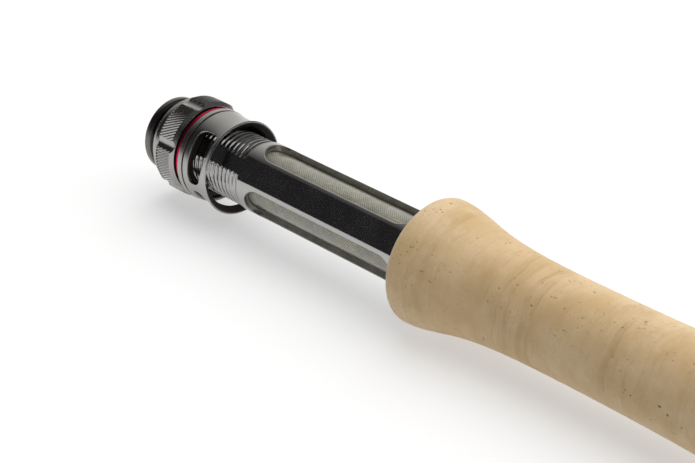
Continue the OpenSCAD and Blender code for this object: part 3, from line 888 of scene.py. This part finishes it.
def makeCorkRing(number, random):
    look = gripLook
    start, stop = ends(f"cork_ring_{number:02d}")
    phi = np.linspace(0, fullTurn, look["turns"] + 1)[None]
    if number == 1:
        edge = start + look["edge"] * (1 - np.cos(np.linspace(0, math.pi / 2, 14)))
        a = np.concatenate([edge, np.linspace(start + look["edge"], stop, look["rows"] - 8)[1:]])
    else:
        a = np.linspace(start, stop, look["rows"])
    a = a[:, None]
    pits = corkPits(a, phi, random)
    ripple = look["ripple"] * np.sin(a * 1.3 + random.uniform(0, 6)) * np.sin(2 * phi + random.uniform(0, 6))
    fromSeam = stop - a if number == 1 else np.minimum(a - start, stop - a)
    seam = np.exp(-fromSeam / look["seam"])
    r = gripRadius(a) - look["pitDepth"] * pits ** 1.5 - look["chamfer"] * seam + ripple * (1 - seam)
    pits = np.maximum(pits, 0.16 * seam + 0 * phi)
    blank = blankRadius(a[[-1, 0]]) + look["gap"] + 0 * phi
    aInside, rInside = a[[-1, 0]], blank
    if number == 1:
        hole = eccentric(cupLook["inner"] + cupLook["wall"] + look["gap"], cupLook["offset"], phi)
        floor = ends("fixed_hood")[1]
        aInside = np.array([[stop], [floor], [floor], [start]])
        rInside = np.concatenate([blank[:1], blank[1:], hole, hole])
    steps = np.linspace(0, 1, 7)[1:-1, None]
    faceR = r[:1] + (rInside[-1:] - r[:1]) * steps[::-1]
    aAll = np.concatenate([a, aInside, a[:1] + 0 * steps, a[:1]])
    rAll = np.concatenate([r, rInside, faceR, r[:1]])
    values = np.zeros_like(rAll)
    values[:len(a)] = pits
    values[-1] = pits[0]
    attributes = {"pit": values, "tone": np.full_like(values, random.uniform(0, 1)),
                  "banding": np.full_like(values, random.uniform(0.25, 1.0))}
    return [makeGrid(aAll, rAll, phi, attributes)]


corkRandom = np.random.default_rng(gripLook["seed"])
for number in range(1, gripLook["rings"] + 1):
    addPiece(f"cork_{number:02d}", makeCorkRing(number, corkRandom), "root", gripCork,
             [f"cork_ring_{number:02d}"], sharpAngle=60)


wrapLook = {"glue": 0.05, "coat": 0.3, "bulge": 1.0, "overFoot": 4.5}


def makeCheck():
    start, stop = ends("winding_check")
    base = blankRadius(start) + wrapLook["glue"]
    corners = [(start, base, 0.1), (start, 7.7, 0.25), (start + 1.0, 7.55, 0.15),
               (start + 1.15, 7.2, 0.08), (start + 1.35, 7.25, 0.08), (stop - 0.25, base + 1.55, 0.3),
               (stop, base + 1.1, 0.2), (stop, base, 0.1)]
    return [turnedGrid(corners, turns=192)]


def makeBlank():
    look = blankLook
    start, stop = ends("rod_blank")
    rear, front = blankRadius(start), blankRadius(stop)
    socket, socketStart = look["socket"], stop - look["socketDepth"]
    corners = [(start, rear - look["wall"], 0.1), (start, rear, 0.2), (stop, front, 0.25),
               (stop, socket, 0.3), (socketStart, socket, 0.3), (socketStart - 0.4, socket - 0.25, 0.1)]
    return [turnedGrid(corners, turns=160, reach=9)]


def makeWrap(start, stop, bump=0.0):
    # A wrap's coat is domed at both ends, as wet epoxy draws itself.
    a = start + (stop - start) * (1 - np.cos(np.linspace(0, math.pi, 49))) / 2
    a = a[:, None]
    phi = np.linspace(0, fullTurn, 161)[None]
    fill = np.sqrt(np.clip(1 - ((a - start) / (stop - start) * 2 - 1) ** 12, 0, 1))
    away = (phi + math.pi) % fullTurn - math.pi
    over = bump * np.exp(-(away / 0.2) ** 2)
    base = blankRadius(a) + wrapLook["glue"]
    r = base + (wrapLook["coat"] + over) * fill
    r[[0, -1]] = base[[0, -1]]
    return makeGrid(np.concatenate([a, a[::-1]]), np.concatenate([r, base[::-1] + 0 * phi]), phi)


def tube(path, radii, around=20):
    # A round tube on a path that lies in one plane through the rod's axis: at each point
    # the circle stands across the path's own direction. The path is (place, height).
    direction = np.gradient(path, axis=0)
    direction /= np.linalg.norm(direction, axis=1)[:, None]
    turn = np.linspace(0, fullTurn, around + 1)[None]
    across = radii[:, None] * np.sin(turn)
    up = radii[:, None] * np.cos(turn)
    a = path[:, :1] - direction[:, 1:] * up
    height = path[:, 1:] + direction[:, :1] * up
    return makeGrid(a, np.hypot(height, across), np.arctan2(across, height))


def makeKeeper():
    low, high = ends("hook_keeper")
    foot, wire = 5.0, 0.5
    start, stop = low + foot, high - foot
    middle, rise = (start + stop) / 2, (stop - start) / 2 - wire
    level = blankRadius(middle) + wire + wrapLook["glue"]
    sweep = np.linspace(math.pi, 0, 41)
    loop = np.stack([middle + rise * np.cos(sweep), level + rise * np.sin(sweep)], -1)
    rear = np.stack([np.linspace(low, middle - rise - 0.4, 12), np.full(12, level)], -1)
    front = np.stack([np.linspace(middle + rise + 0.4, high, 12), np.full(12, level)], -1)
    path = np.concatenate([rear, loop, front])
    taper = np.minimum(1, 0.02 + np.minimum(path[:, 0] - low, high - path[:, 0]) / 2.2) ** 0.6
    return [tube(path, wire * taper)]


addPiece("winding_check_turned", makeCheck(), "root", capMetal, ["winding_check"])
addPiece("rod_blank_carbon", makeBlank(), "root", blankCarbon, ["rod_blank"])
keeperLow, keeperHigh = ends("hook_keeper")
wrapLow, wrapHigh = ends("keeper_wraps")
footWraps = [makeWrap(wrapLow, keeperLow + wrapLook["overFoot"], wrapLook["bulge"]),
             makeWrap(keeperHigh - wrapLook["overFoot"], wrapHigh, wrapLook["bulge"])]
addPiece("keeper_wraps_wound", footWraps, "root", wrapThread, ["keeper_wraps"])
addPiece("ferrule_wrap_wound", [makeWrap(*ends("ferrule_wrap"))], "root", wrapThread,
         ["ferrule_wrap"])
addPiece("hook_keeper_wire", makeKeeper(), "root", keeperSteel, ["hook_keeper"])

# the arbors stay as the CAD made them
for node in ("seat_arbor_rear", "seat_arbor_middle", "seat_arbor_front"):
    frame["nodes"][node].data.materials.clear()
    frame["nodes"][node].data.materials.append(arborFoam)


stageLook = {"floorHalf": 6.0, "floor": (0.43, 0.43, 0.428), "glow": 0.5, "skyLow": (0.85, 0.85, 0.85),
             "skyFront": (0.03, 0.029, 0.031), "skyButt": (0.85, 0.85, 0.82), "skyTip": (0.16, 0.16, 0.16),
             "skyTurn": (-0.35, 0.75), "tipTurn": (-0.45, -0.05), "horizon": (0.02, 0.09)}


def makeFloor():
    half = stageLook["floorHalf"]
    mesh = bpy.data.meshes.new("floor")
    corners = [(-half, -half, 0), (half, -half, 0), (half, half, 0), (-half, half, 0)]
    mesh.from_pydata(corners, [], [(0, 1, 2, 3)])
    material, tree, shader = newMaterial("floor paint")
    grain = noiseAt(tree, objectPoints(tree), 40.0, 2.0)
    high = tuple(min(1.0, c * 1.01) for c in stageLook["floor"])
    setInputs(tree, shader, {"Base Color": mixColour(tree, grain, stageLook["floor"], high),
                             "Roughness": 0.85, "Specular IOR Level": 0.2,
                             "Emission Color": (1, 1, 1, 1), "Emission Strength": stageLook["glow"]})
    mesh.materials.append(material)
    floor = bpy.data.objects.new("floor", mesh)
    bpy.context.scene.collection.objects.link(floor)
    floor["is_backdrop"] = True


def makeSky():
    # A studio with a white sweep: pale at the horizon all round.
    world = bpy.data.worlds.new("studio")
    bpy.context.scene.world = world
    world.use_nodes = True
    tree = world.node_tree
    background = tree.nodes["Background"]
    where = tree.nodes.new("ShaderNodeTexCoord")
    split = tree.nodes.new("ShaderNodeSeparateXYZ")
    tree.links.new(where.outputs["Generated"], split.inputs[0])
    # Above that it is dark in front of the rod, pale behind its butt and dim behind its tip.
    tip = remap(tree, split.outputs[0], *stageLook["tipTurn"])
    behind = mixColour(tree, tip, stageLook["skyButt"], stageLook["skyTip"])
    turned = remap(tree, split.outputs[1], *stageLook["skyTurn"])
    overhead = mixColour(tree, turned, stageLook["skyFront"], behind)
    height = remap(tree, split.outputs[2], *stageLook["horizon"])
    colour = mixColour(tree, height, stageLook["skyLow"], overhead)
    setInputs(tree, background, {"Color": colour, "Strength": 1.0})


lampLook = {"key": {"place": (0.12, 0.42, 1.3), "size": (2.4, 2.2), "power": 40, "glossy": False},
            "tip side": {"place": (1.2, 0.25, 0.55), "size": (0.6, 0.5), "power": 1.2, "glossy": True}}


def addSoftbox(name, place, size, power, glossy):
    # Aimed at the frame's origin. Without glossy it lights the rod but doesn't show as a
    # bright patch in the metal.
    light = bpy.data.lights.new(name, "AREA")
    light.shape = "RECTANGLE"
    light.size, light.size_y = size
    light.energy = power
    lamp = bpy.data.objects.new(name, light)
    lamp.location = place
    lamp.rotation_euler = (-Vector(place)).to_track_quat("-Z", "Y").to_euler()
    lamp.visible_glossy = glossy
    bpy.context.scene.collection.objects.link(lamp)


makeFloor()
makeSky()
mouthX = (buttX + ends("sliding_hood")[1]) * mm
for name, settings in lampLook.items():
    addSoftbox(name, **settings)

cameraLook = {"fromMouth": (0.3274, -0.2771, 0.2142), "tilt": 61.57, "heading": 46.43, "lens": 103.6}
camera = bpy.data.objects.new("camera", bpy.data.cameras.new("camera"))
camera.location = Vector((mouthX, 0, axisZ * mm)) + Vector(cameraLook["fromMouth"])
camera.rotation_euler = (math.radians(cameraLook["tilt"]), 0, math.radians(cameraLook["heading"]))
camera.data.lens = cameraLook["lens"]
camera.data.sensor_width = 36
camera.data.clip_start = 0.01
bpy.context.scene.collection.objects.link(camera)
bpy.context.scene.camera = camera
bpy.context.scene.view_settings.view_transform = "Standard"
print("stage ready")

asList = lambda box: [[round(float(c), 6) for c in corner] for corner in box]
{"cad": asList(cadBox), "visual": asList(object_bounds())}
